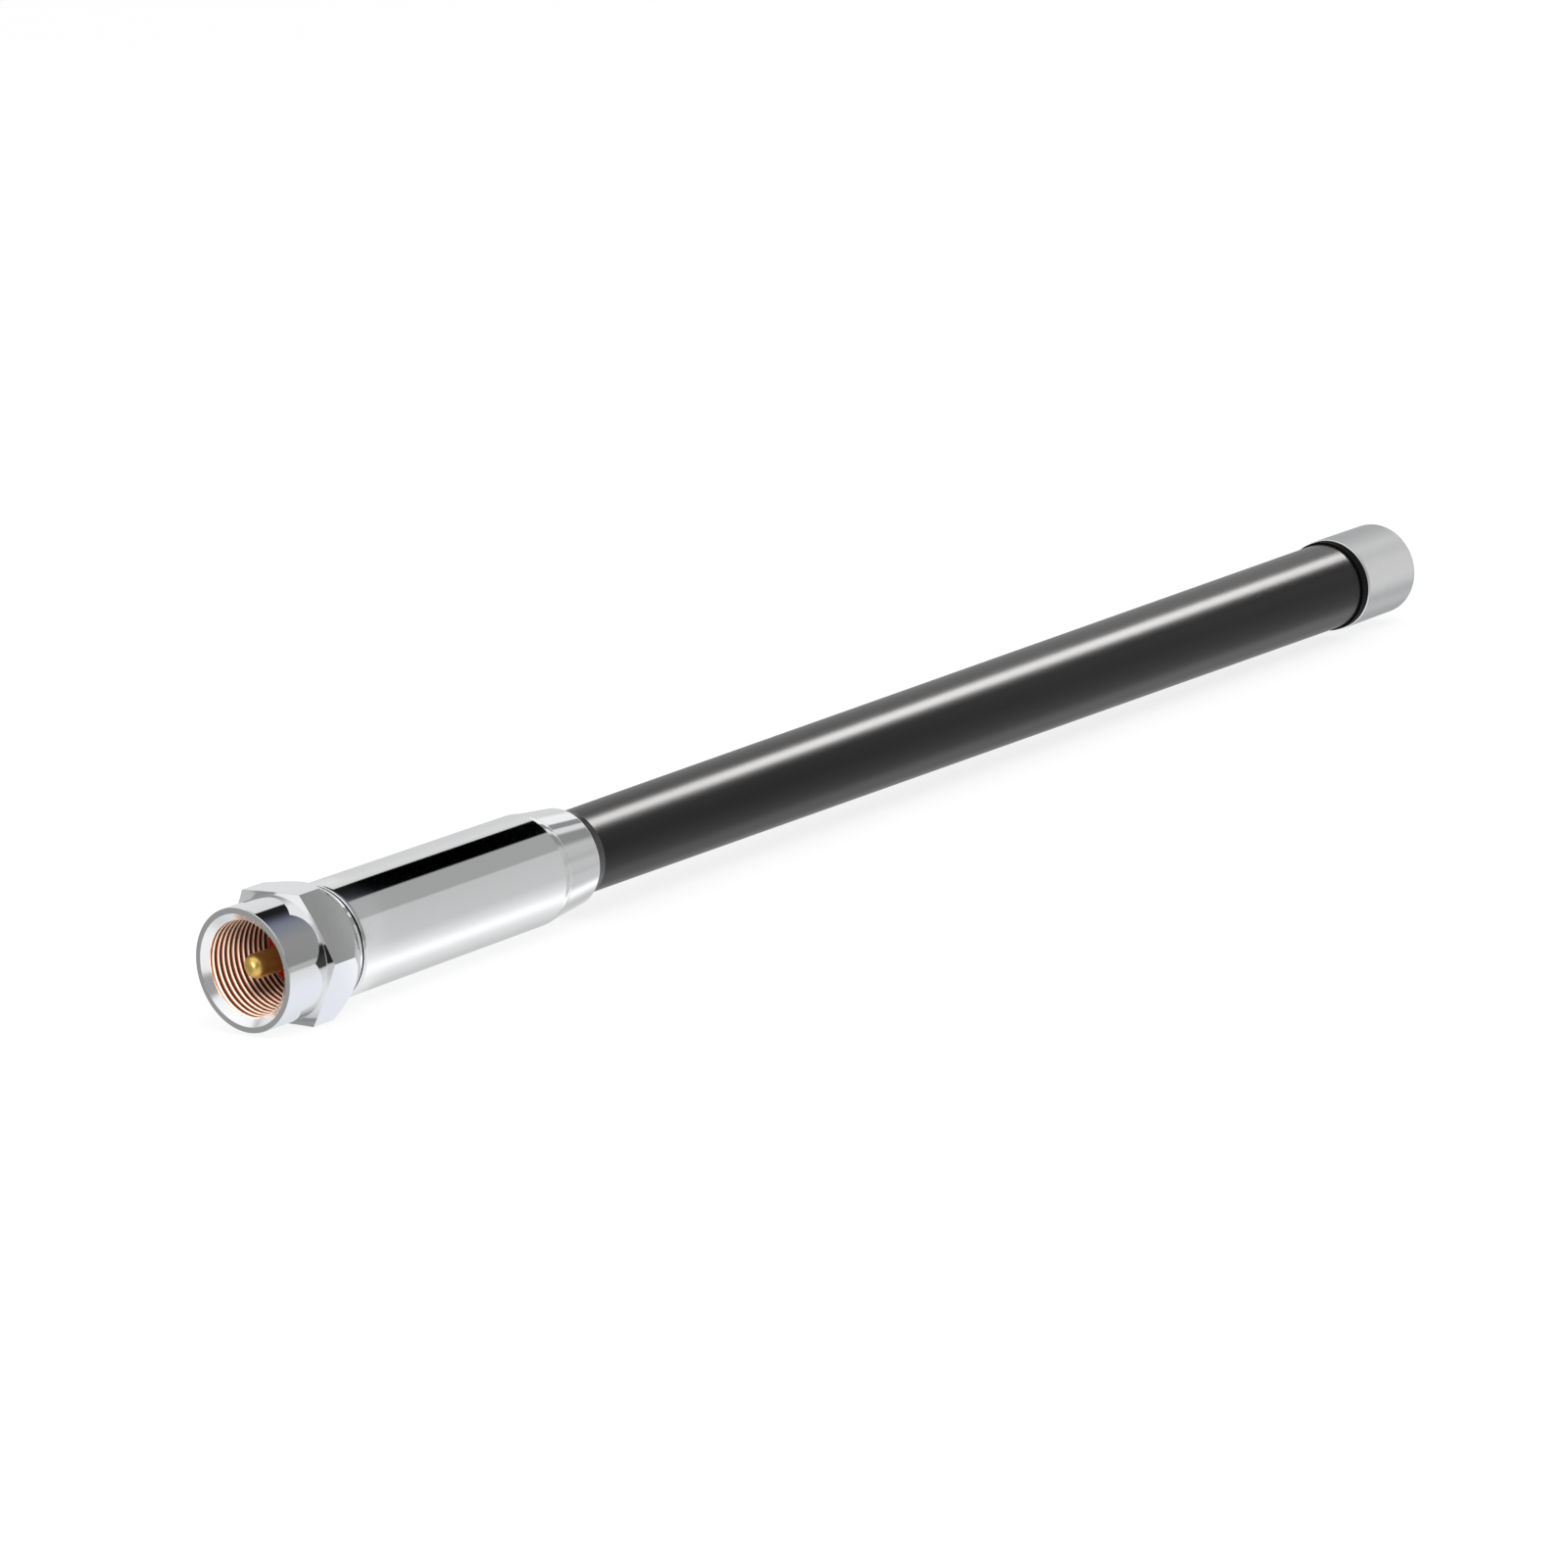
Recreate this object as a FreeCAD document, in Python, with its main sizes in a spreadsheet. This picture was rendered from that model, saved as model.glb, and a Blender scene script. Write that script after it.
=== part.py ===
"""Dual band vehicle antenna with a screw-on coaxial plug.

The antenna lies along +X. The origin is on its axis, at the face of the plug's insulator, which is the
plug's reference plane: the pin and the open mouth of the coupling nut point to -X, and the tip to +X.
Every turned piece is drawn as a half section from its own front face, along X and out from the axis,
and its Placement puts that face where it sits in the assembly.
"""

import FreeCAD
import Part
import math
import os
import re
import Sketcher

DOCUMENT = FreeCAD.newDocument("DualBandAntenna")
SHEET = DOCUMENT.addObject("Spreadsheet::Sheet", "Sizes")
NAMES = []
PIECES = []

# Driving dimensions in millimetres, and the sizes that follow from them

DRIVING = [
    # coupling nut
    ("hex_across_flats", 20.0),
    ("nut_length", 16.15),
    ("nose_radius", 9.52),
    ("nose_length", 7.85),
    ("nose_edge_round", 0.14),
    ("front_face_dish", 0.4),
    ("corner_land_length", 4.33),
    ("rear_cone_length", 3.5),
    ("hex_cutter_margin", 2.0),
    ("nut_rear_radius", 9.28),
    ("mouth_radius", 8.58),
    ("countersink_depth", 0.95),
    ("thread_crest_radius", 7.45),
    ("lip_thickness", 1.9),
    # clearances
    ("turning_clearance", 0.08),
    ("seat_clearance", 0.03),
    ("wall_clearance", 0.1),
    # plug
    ("pin_radius", 1.9),
    ("pin_length", 11.4),
    ("pin_dome_height", 1.5),
    ("pin_tail_radius", 1.25),
    ("pin_tail_length", 12.0),
    ("insulator_radius", 6.95),
    ("insulator_head", 1.0),
    ("insulator_stem_radius", 4.2),
    ("insulator_length", 9.0),
    ("flange_radius", 7.25),
    ("flange_length", 1.3),
    ("neck_radius", 6.4),
    ("washer_thickness", 0.25),
    ("washer_radius", 8.9),
    ("shank_radius", 5.5),
    ("lock_nut_flats", 13.4),
    ("lock_nut_length", 2.8),
    ("shank_stub", 0.6),
    # barrel and collar
    ("barrel_radius", 9.04),
    ("barrel_length", 47.6),
    ("barrel_wall", 1.1),
    ("barrel_front_wall", 3.0),
    ("barrel_front_round", 0.5),
    ("barrel_ease_length", 1.4),
    ("barrel_end_radius", 8.9),
    ("barrel_rear_round", 0.12),
    ("collar_root_radius", 8.82),
    ("collar_mouth_radius", 7.96),
    ("collar_length", 8.1),
    ("collar_edge_round", 0.45),
    ("spigot_length", 6.0),
    ("seal_thickness", 0.22),
    ("seal_depth", 1.6),
    ("seal_stand_out", 2.2),
    ("seal_edge_round", 0.12),
    # tube
    ("tube_shank_radius", 6.74),
    ("tube_start_radius", 6.79),
    ("tube_end_radius", 8.18),
    ("tube_wall", 1.3),
    # tip
    ("gasket_radius", 8.54),
    ("gasket_thickness", 1.9),
    ("cap_radius", 8.72),
    ("cap_length", 17.2),
    ("cap_front_bevel", 0.35),
    ("cap_end_round", 1.05),
    ("cap_spigot_length", 9.0),
    ("cap_bore_radius", 4.0),
    ("cap_bore_depth", 12.0),
    ("ring_wire_radius", 0.75),
    ("ring_from_shoulder", 4.5),
    ("tip_clearance", 5.7),
    # matching section
    ("board_thickness", 1.0),
    ("board_radius", 7.6),
    ("capacitor_radius", 2.4),
    ("capacitor_thickness", 1.2),
    ("capacitor_legs", 1.2),
    ("capacitor_wire_radius", 0.3),
    ("wire_gap", 0.8),
    ("former_gap", 6.2),
    ("former_radius", 4.5),
    ("former_flange", 1.2),
    ("former_length", 16.5),
    ("matching_wire_radius", 0.5),
    ("matching_turns", 12.0),
    ("turn_bite", 0.04),
    ("feed_rod_radius", 1.25),
    ("base_plug_head", 3.0),
    ("base_plug_stem", 12.0),
    ("feed_rod_socket", 6.0),
    # radiator
    ("radiator_radius", 2.0),
    ("lower_radiator_length", 126.0),
    ("phasing_core_radius", 3.0),
    ("phasing_core_length", 30.0),
    ("phasing_socket", 6.0),
    ("phasing_wire_radius", 0.45),
    ("phasing_turns", 16.0),
    ("upper_radiator_length", 84.0),
    ("disc_thickness", 4.0),
    ("disc_first_share", 0.405),
    ("disc_second_share", 0.785),
    ("disc_third_share", 0.32),
    ("disc_fourth_share", 0.845),
]

FOLLOWING = [
    # coupling nut, from its mouth
    ("hex_corner_radius", "hex_across_flats / 2 / cos(30 deg)"),
    ("hex_cutter_radius", "hex_corner_radius + hex_cutter_margin"),
    ("nut_mouth_at", "-(nut_length - flange_length - turning_clearance - lip_thickness)"),
    ("bore_length", "nut_length - lip_thickness"),
    ("lip_radius", "neck_radius + turning_clearance"),
    ("corner_front_at", "nose_length - front_face_dish"),
    ("corner_rear_at", "corner_front_at + corner_land_length"),
    ("rear_cone_end_at", "corner_rear_at + rear_cone_length"),
    # plug
    ("washer_at", "barrel_at - washer_thickness"),
    ("neck_length", "turning_clearance + lip_thickness + turning_clearance + washer_thickness"),
    ("barrel_at", "flange_length + neck_length"),
    ("shank_length", "barrel_front_wall + lock_nut_length + shank_stub"),
    ("plug_length", "barrel_at + shank_length"),
    ("stem_bore_radius", "insulator_stem_radius + seat_clearance"),
    # barrel and collar
    ("barrel_bore_radius", "barrel_radius - barrel_wall"),
    ("collar_at", "barrel_at + barrel_length"),
    ("tube_at", "collar_at - spigot_length"),
    ("tube_shank_length", "spigot_length + collar_length"),
    ("tube_bore_start", "tube_start_radius - tube_wall"),
    ("tube_bore_end", "tube_end_radius - tube_wall"),
    ("tube_length", "upper_radiator_end + tip_clearance + cap_spigot_length - tube_at"),
    ("tube_visible_length", "tube_length - tube_shank_length"),
    ("taper", "(tube_end_radius - tube_start_radius) / tube_visible_length"),
    ("seal_inner_radius", "tube_start_radius + taper * seal_stand_out + seat_clearance"),
    ("seal_at", "collar_at + collar_length - seal_depth"),
    # tip
    ("gasket_at", "tube_at + tube_length"),
    ("cap_at", "gasket_at + gasket_thickness"),
    ("cap_spigot_radius", "tube_bore_end - taper * cap_spigot_length - wall_clearance"),
    ("cap_reach", "gasket_thickness + cap_spigot_length"),
    ("cap_front_at", "cap_at - cap_reach"),
    ("ring_at", "gasket_at - ring_from_shoulder"),
    ("ring_outer_radius", "tube_bore_end - taper * ring_from_shoulder - seat_clearance"),
    ("ring_mean_radius", "ring_outer_radius - ring_wire_radius"),
    ("ring_groove_radius", "ring_mean_radius - ring_wire_radius - seat_clearance"),
    ("ring_groove_half", "ring_wire_radius + wall_clearance"),
    # matching section
    ("board_at", "plug_length"),
    ("capacitor_at", "board_at + board_thickness"),
    ("former_at", "board_at + board_thickness + former_gap"),
    ("matching_mean_radius", "former_radius + matching_wire_radius + seat_clearance"),
    ("matching_pitch", "2 * matching_wire_radius - turn_bite"),
    ("matching_coil_at", "former_at + former_flange + matching_wire_radius + seat_clearance"),
    ("matching_lead_length", "matching_coil_at - board_at - board_thickness"),
    ("base_plug_at", "tube_at - base_plug_head"),
    ("feed_rod_at", "pin_tail_length"),
    ("feed_rod_length", "radiator_at + feed_rod_socket - feed_rod_at"),
    # radiator
    ("radiator_at", "base_plug_at - 1"),
    ("phasing_at", "radiator_at + lower_radiator_length - phasing_socket"),
    ("phasing_mean_radius", "phasing_core_radius + phasing_wire_radius + seat_clearance"),
    ("phasing_pitch", "2 * phasing_wire_radius - turn_bite"),
    ("phasing_winding_length", "(phasing_turns - 1) * phasing_pitch"),
    ("phasing_coil_at", "phasing_at + (phasing_core_length - phasing_winding_length) / 2"),
    ("upper_radiator_at", "phasing_at + phasing_core_length - phasing_socket"),
    ("upper_radiator_end", "upper_radiator_at + upper_radiator_length"),
    ("disc_first_at", "radiator_at + disc_first_share * lower_radiator_length"),
    ("disc_second_at", "radiator_at + disc_second_share * lower_radiator_length"),
    ("disc_third_at", "upper_radiator_at + disc_third_share * upper_radiator_length"),
    ("disc_fourth_at", "upper_radiator_at + disc_fourth_share * upper_radiator_length"),
]


def fill_sheet():
    """Write every size to a row of the sheet, its name beside it, and give its cell that name."""
    rows = [(name, str(number)) for name, number in DRIVING]
    rows += [(name, "=" + formula) for name, formula in FOLLOWING]
    for row, (name, content) in enumerate(rows, 1):
        SHEET.set("A%d" % row, name)
        SHEET.set("B%d" % row, content)
        SHEET.setAlias("B%d" % row, name)
        NAMES.append(name)
    DOCUMENT.recompute()


def bound(formula):
    """The formula with each size's name pointing at its cell."""
    return re.sub("[a-z_]+", lambda word: "Sizes." + word[0] if word[0] in NAMES else word[0], formula)


def value(formula):
    """What a formula of sizes comes to, in millimetres."""
    return float(SHEET.evalExpression(formula))


def piece(label, at="0"):
    """A new body that lies with its front face at a place along the axis."""
    body = DOCUMENT.addObject("PartDesign::Body", label)
    body.Label = label
    body.Placement.Base.x = value(at)
    body.setExpression("Placement.Base.x", bound(at))
    PIECES.append(body)
    return body


def sketch_on(body, plane, name):
    """A sketch on one of the body's own origin planes."""
    sketch = body.newObject("Sketcher::SketchObject", name)
    origin = next(one for one in body.Origin.OriginFeatures if one.Role == plane)
    sketch.AttachmentSupport = (origin, [""])
    sketch.MapMode = "FlatFace"
    return sketch


def fix(sketch, kind, place, formula, name):
    """Add a dimension to a sketch and tie it to a formula of sizes."""
    index = sketch.addConstraint(Sketcher.Constraint(kind, *place, value(formula)))
    sketch.renameConstraint(index, name)
    sketch.setExpression("Constraints." + name, bound(formula))


def fix_point(sketch, line, corner, along, out):
    """Place the start of a line by its distance along the axis and out from it."""
    if along == "0" and out == "0":
        sketch.addConstraint(Sketcher.Constraint("Coincident", line, 1, -1, 1))
        return
    if along == "0":
        sketch.addConstraint(Sketcher.Constraint("PointOnObject", line, 1, -2))
    else:
        fix(sketch, "DistanceX", (-1, 1, line, 1), along, "along_%d" % corner)
    if out == "0":
        sketch.addConstraint(Sketcher.Constraint("PointOnObject", line, 1, -1))
    else:
        fix(sketch, "DistanceY", (-1, 1, line, 1), out, "out_%d" % corner)


def turned(body, outline, name="HalfSection", kind="PartDesign::Revolution"):
    """Turn a half section, a list of (along, out) formulas, about the body's X axis."""
    sketch = sketch_on(body, "XY_Plane", name)
    corners = [FreeCAD.Vector(value(along), value(out), 0) for along, out in outline]
    for start, end in zip(corners, corners[1:] + corners[:1]):
        sketch.addGeometry(Part.LineSegment(start, end))
    for line in range(len(outline)):
        sketch.addConstraint(Sketcher.Constraint("Coincident", line, 2, (line + 1) % len(outline), 1))
    for line, (along, out) in enumerate(outline):
        fix_point(sketch, line, line, along, out)
    feature = body.newObject(kind, "Turned")
    feature.Profile = (sketch, [""])
    feature.ReferenceAxis = (sketch, ["H_Axis"])
    feature.Angle = 360
    DOCUMENT.recompute()
    return feature


def rounded(body, feature, radius, rims):
    """Round the circular rims of a turned feature, each given by its (along, out) formulas."""
    wanted = [(value(along), value(out)) for along, out in rims]
    edges = []
    for number, edge in enumerate(feature.Shape.Edges, 1):
        if not isinstance(edge.Curve, Part.Circle):
            continue
        centre = edge.Curve.Center
        for along, out in wanted:
            if abs(centre.x - along) < 1e-4 and abs(edge.Curve.Radius - out) < 1e-4:
                edges.append("Edge%d" % number)
    if len(edges) < len(rims):
        raise RuntimeError("a rim to round is missing on " + body.Label)
    fillet = body.newObject("PartDesign::Fillet", "Rounding")
    fillet.Base = (feature, edges)
    fillet.Radius = value(radius)
    fillet.setExpression("Radius", bound(radius))
    DOCUMENT.recompute()
    return fillet


def circle(sketch, centre, radius, name):
    """A full circle in a sketch, its centre given by two formulas, or on the origin."""
    across, up = centre
    middle = FreeCAD.Vector(value(across), value(up), 0)
    geometry = sketch.addGeometry(Part.Circle(middle, FreeCAD.Vector(0, 0, 1), value(radius)))
    if across == "0" and up == "0":
        sketch.addConstraint(Sketcher.Constraint("Coincident", geometry, 3, -1, 1))
    else:
        if across == "0":
            sketch.addConstraint(Sketcher.Constraint("PointOnObject", geometry, 3, -2))
        else:
            fix(sketch, "DistanceX", (-1, 1, geometry, 3), across, name + "_across")
        if up == "0":
            sketch.addConstraint(Sketcher.Constraint("PointOnObject", geometry, 3, -1))
        else:
            fix(sketch, "DistanceY", (-1, 1, geometry, 3), up, name + "_up")
    fix(sketch, "Radius", (geometry,), radius, name + "_radius")
    return geometry


def hexagon(sketch, corner_radius):
    """A regular hexagon about the origin, with two of its flats facing up and down."""
    corners = []
    for step in range(6):
        angle = math.radians(60 * step)
        reach = value(corner_radius)
        corners.append(FreeCAD.Vector(reach * math.cos(angle), reach * math.sin(angle), 0))
    lines = [sketch.addGeometry(Part.LineSegment(corners[step], corners[(step + 1) % 6])) for step in range(6)]
    guide = sketch.addGeometry(Part.Circle(FreeCAD.Vector(), FreeCAD.Vector(0, 0, 1), reach), True)
    sketch.addConstraint(Sketcher.Constraint("Coincident", guide, 3, -1, 1))
    for step, line in enumerate(lines):
        sketch.addConstraint(Sketcher.Constraint("Coincident", line, 2, lines[(step + 1) % 6], 1))
        sketch.addConstraint(Sketcher.Constraint("PointOnObject", line, 1, guide))
        if step:
            sketch.addConstraint(Sketcher.Constraint("Equal", lines[0], line))
    sketch.addConstraint(Sketcher.Constraint("PointOnObject", lines[0], 1, -1))
    fix(sketch, "Radius", (guide,), corner_radius, "corner_radius")


def extruded(body, sketch, length, kind="PartDesign::Pad", name="Extruded", **settings):
    """Pad or pocket a sketch by a length, and check that a pocket takes something away."""
    before = body.Tip.Shape.Volume if body.Tip and body.Tip.Shape.Solids else 0
    feature = body.newObject(kind, name)
    feature.Profile = (sketch, [""])
    for setting, content in settings.items():
        setattr(feature, setting, content)
    feature.Length = value(length)
    feature.setExpression("Length", bound(length))
    DOCUMENT.recompute()
    if kind == "PartDesign::Pocket" and feature.Shape.Volume >= before:
        raise RuntimeError("a pocket cuts nothing on " + body.Label)
    return feature


def coupling_nut():
    """The hexagon nut that turns on the plug and screws onto the vehicle's socket."""
    body = piece("coupling_nut", "nut_mouth_at")
    form = turned(body, [
        ("0", "mouth_radius"),
        ("0", "nose_radius"),
        ("nose_length", "nose_radius"),
        ("corner_front_at", "hex_corner_radius"),
        ("corner_rear_at", "hex_corner_radius"),
        ("rear_cone_end_at", "nut_rear_radius"),
        ("nut_length", "nut_rear_radius"),
        ("nut_length", "lip_radius"),
        ("bore_length", "lip_radius"),
        ("bore_length", "thread_crest_radius"),
        ("countersink_depth", "thread_crest_radius"),
    ])
    rounded(body, form, "nose_edge_round", [("0", "nose_radius"), ("nut_length", "nut_rear_radius")])
    sketch = sketch_on(body, "YZ_Plane", "HexagonFlats")
    circle(sketch, ("0", "0"), "hex_cutter_radius", "cutter")
    hexagon(sketch, "hex_corner_radius")
    extruded(body, sketch, "2 * nut_length", "PartDesign::Pocket", "Flats", Midplane=True)


def plug():
    """The fixed half of the plug: outer contact, insulator and pin, and the washer the nut turns on."""
    body = piece("plug_body")
    turned(body, [
        ("0", "insulator_radius + seat_clearance"),
        ("0", "flange_radius"),
        ("flange_length", "flange_radius"),
        ("flange_length", "neck_radius"),
        ("barrel_at", "neck_radius"),
        ("barrel_at", "shank_radius"),
        ("plug_length", "shank_radius"),
        ("plug_length", "stem_bore_radius"),
        ("insulator_head", "stem_bore_radius"),
        ("insulator_head", "insulator_radius + seat_clearance"),
    ])
    body = piece("plug_insulator")
    turned(body, [
        ("0", "pin_tail_radius + seat_clearance"),
        ("0", "insulator_radius"),
        ("insulator_head", "insulator_radius"),
        ("insulator_head", "insulator_stem_radius"),
        ("insulator_length", "insulator_stem_radius"),
        ("insulator_length", "pin_tail_radius + seat_clearance"),
    ])
    centre_pin()
    body = piece("thrust_washer", "washer_at")
    turned(body, [
        ("0", "neck_radius + seat_clearance"),
        ("0", "washer_radius"),
        ("washer_thickness", "washer_radius"),
        ("washer_thickness", "neck_radius + seat_clearance"),
    ])


def centre_pin():
    """The centre contact: a domed pin in front of the insulator and a thinner tail through it."""
    body = piece("center_pin", "-pin_length")
    form = turned(body, [
        ("0", "0"),
        ("0", "pin_radius"),
        ("pin_length", "pin_radius"),
        ("pin_length", "pin_tail_radius"),
        ("pin_length + pin_tail_length", "pin_tail_radius"),
        ("pin_length + pin_tail_length", "0"),
    ])
    rounded(body, form, "pin_dome_height", [("0", "pin_radius")])


def barrel():
    """The plated barrel, its lock nut on the plug's shank, and the collar that grips the tube."""
    body = piece("barrel", "barrel_at")
    form = turned(body, [
        ("0", "shank_radius + seat_clearance"),
        ("0", "barrel_radius"),
        ("barrel_length - barrel_ease_length", "barrel_radius"),
        ("barrel_length - barrel_ease_length / 2", "barrel_radius - (barrel_radius - barrel_end_radius) / 4"),
        ("barrel_length", "barrel_end_radius"),
        ("barrel_length", "barrel_bore_radius"),
        ("barrel_front_wall", "barrel_bore_radius"),
        ("barrel_front_wall", "shank_radius + seat_clearance"),
    ])
    form = rounded(body, form, "barrel_front_round", [("0", "barrel_radius")])
    rounded(body, form, "barrel_rear_round", [("barrel_length", "barrel_end_radius")])

    body = piece("lock_nut", "barrel_at + barrel_front_wall")
    sketch = sketch_on(body, "YZ_Plane", "NutOutline")
    hexagon(sketch, "lock_nut_flats / 2 / cos(30 deg)")
    circle(sketch, ("0", "0"), "shank_radius + seat_clearance", "bore")
    extruded(body, sketch, "lock_nut_length")

    body = piece("tube_collar", "tube_at")
    form = turned(body, [
        ("0", "tube_shank_radius + seat_clearance"),
        ("0", "barrel_bore_radius - seat_clearance"),
        ("spigot_length", "barrel_bore_radius - seat_clearance"),
        ("spigot_length", "collar_root_radius"),
        ("tube_shank_length", "collar_mouth_radius"),
        ("tube_shank_length", "seal_inner_radius + seal_thickness + seat_clearance"),
        ("tube_shank_length - seal_depth", "seal_inner_radius + seal_thickness + seat_clearance"),
        ("tube_shank_length - seal_depth", "tube_shank_radius + seat_clearance"),
    ])
    rounded(body, form, "collar_edge_round", [("tube_shank_length", "collar_mouth_radius")])

    body = piece("collar_seal", "seal_at")
    form = turned(body, [
        ("0", "seal_inner_radius"),
        ("0", "seal_inner_radius + seal_thickness"),
        ("seal_depth + seal_stand_out", "seal_inner_radius + seal_thickness"),
        ("seal_depth + seal_stand_out", "seal_inner_radius"),
    ])
    rounded(body, form, "seal_edge_round", [("seal_depth + seal_stand_out", "seal_inner_radius + seal_thickness")])


def tube():
    """The moulded tube over the radiator: a straight shank in the collar, then a draft that opens to the tip."""
    body = piece("radome_tube", "tube_at")
    turned(body, [
        ("0", "tube_bore_start"),
        ("0", "tube_shank_radius"),
        ("tube_shank_length", "tube_shank_radius"),
        ("tube_shank_length", "tube_start_radius"),
        ("tube_length", "tube_end_radius"),
        ("tube_length", "tube_bore_end"),
        ("tube_shank_length", "tube_bore_start"),
    ])


def tip():
    """The metal cap that closes the tube, with its gasket and the ring seal on its spigot."""
    body = piece("tip_gasket", "gasket_at")
    turned(body, [
        ("0", "cap_spigot_radius + seat_clearance"),
        ("0", "gasket_radius"),
        ("gasket_thickness", "gasket_radius"),
        ("gasket_thickness", "cap_spigot_radius + seat_clearance"),
    ])
    body = piece("tip_cap", "cap_front_at")
    form = turned(body, [
        ("0", "cap_bore_radius"),
        ("0", "cap_spigot_radius"),
        ("cap_spigot_length - ring_from_shoulder - ring_groove_half", "cap_spigot_radius"),
        ("cap_spigot_length - ring_from_shoulder - ring_groove_half", "ring_groove_radius"),
        ("cap_spigot_length - ring_from_shoulder + ring_groove_half", "ring_groove_radius"),
        ("cap_spigot_length - ring_from_shoulder + ring_groove_half", "cap_spigot_radius"),
        ("cap_reach", "cap_spigot_radius"),
        ("cap_reach", "cap_radius - cap_front_bevel"),
        ("cap_reach + cap_front_bevel", "cap_radius"),
        ("cap_reach + cap_length", "cap_radius"),
        ("cap_reach + cap_length", "0"),
        ("cap_bore_depth", "0"),
        ("cap_bore_depth", "cap_bore_radius"),
    ])
    rounded(body, form, "cap_end_round", [("cap_reach + cap_length", "cap_radius")])
    body = piece("cap_ring_seal", "ring_at")
    winding(body, "ring_mean_radius", "ring_wire_radius")


def winding(body, mean_radius, wire_radius, turns=None, pitch=None):
    """A ring of round section about the axis, repeated side by side for a close-wound coil."""
    sketch = sketch_on(body, "XY_Plane", "WireSection")
    circle(sketch, ("0", mean_radius), wire_radius, "wire")
    ring = body.newObject("PartDesign::Revolution", "Turn")
    ring.Profile = (sketch, [""])
    ring.ReferenceAxis = (sketch, ["H_Axis"])
    ring.Angle = 360
    DOCUMENT.recompute()
    if turns is None:
        return ring
    pattern = body.newObject("PartDesign::LinearPattern", "Turns")
    pattern.Originals = [ring]
    pattern.Direction = (sketch, ["H_Axis"])
    pattern.Length = value("(%s - 1) * %s" % (turns, pitch))
    pattern.setExpression("Length", bound("(%s - 1) * %s" % (turns, pitch)))
    pattern.Occurrences = int(value(turns))
    pattern.setExpression("Occurrences", bound(turns))
    body.Tip = pattern
    DOCUMENT.recompute()
    return pattern


def matching_section():
    """What matches the feed inside the barrel: board, capacitor, coil on its former, and the feed rod."""
    body = piece("matching_board", "board_at")
    turned(body, [
        ("0", "pin_tail_radius + seat_clearance"),
        ("0", "board_radius"),
        ("board_thickness", "board_radius"),
        ("board_thickness", "pin_tail_radius + seat_clearance"),
    ])

    body = piece("tuning_capacitor", "capacitor_at")
    sketch = sketch_on(body, "XZ_Plane", "DiscOutline")
    circle(sketch, ("capacitor_legs + capacitor_radius", "-board_radius / 2 - wire_gap"), "capacitor_radius", "disc")
    extruded(body, sketch, "capacitor_thickness", Midplane=True)
    sketch = sketch_on(body, "YZ_Plane", "Legs")
    for name, side in (("inner", "+"), ("outer", "-")):
        place = "-board_radius / 2 - wire_gap " + side + " capacitor_radius / 2"
        circle(sketch, ("0", place), "capacitor_wire_radius", name)
    extruded(body, sketch, "capacitor_legs + capacitor_radius")

    body = piece("coil_former", "former_at")
    turned(body, [
        ("0", "feed_rod_radius + seat_clearance"),
        ("0", "barrel_bore_radius - seat_clearance"),
        ("former_flange", "barrel_bore_radius - seat_clearance"),
        ("former_flange", "former_radius"),
        ("former_length", "former_radius"),
        ("former_length", "feed_rod_radius + seat_clearance"),
    ])
    sketch = sketch_on(body, "YZ_Plane", "LeadHole")
    circle(sketch, ("matching_mean_radius", "0"), "matching_wire_radius + seat_clearance", "lead")
    extruded(body, sketch, "former_flange", "PartDesign::Pocket", "LeadPassage", Reversed=True)

    body = piece("matching_coil", "matching_coil_at")
    winding(body, "matching_mean_radius", "matching_wire_radius", "matching_turns", "matching_pitch")
    sketch = sketch_on(body, "YZ_Plane", "Lead")
    circle(sketch, ("matching_mean_radius", "0"), "matching_wire_radius", "lead")
    extruded(body, sketch, "matching_lead_length", Reversed=True)

    body = piece("feed_rod", "feed_rod_at")
    rod(body, "feed_rod_length", "feed_rod_radius")

    body = piece("base_plug", "base_plug_at")
    turned(body, [
        ("0", "radiator_radius + seat_clearance"),
        ("0", "barrel_bore_radius - seat_clearance"),
        ("base_plug_head", "barrel_bore_radius - seat_clearance"),
        ("base_plug_head", "tube_bore_start - seat_clearance"),
        ("base_plug_head + base_plug_stem", "tube_bore_start - seat_clearance"),
        ("base_plug_head + base_plug_stem", "radiator_radius + seat_clearance"),
    ])


def rod(body, length, radius):
    """A plain round rod along the axis."""
    sketch = sketch_on(body, "YZ_Plane", "RodSection")
    circle(sketch, ("0", "0"), radius, "rod")
    return extruded(body, sketch, length)


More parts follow.
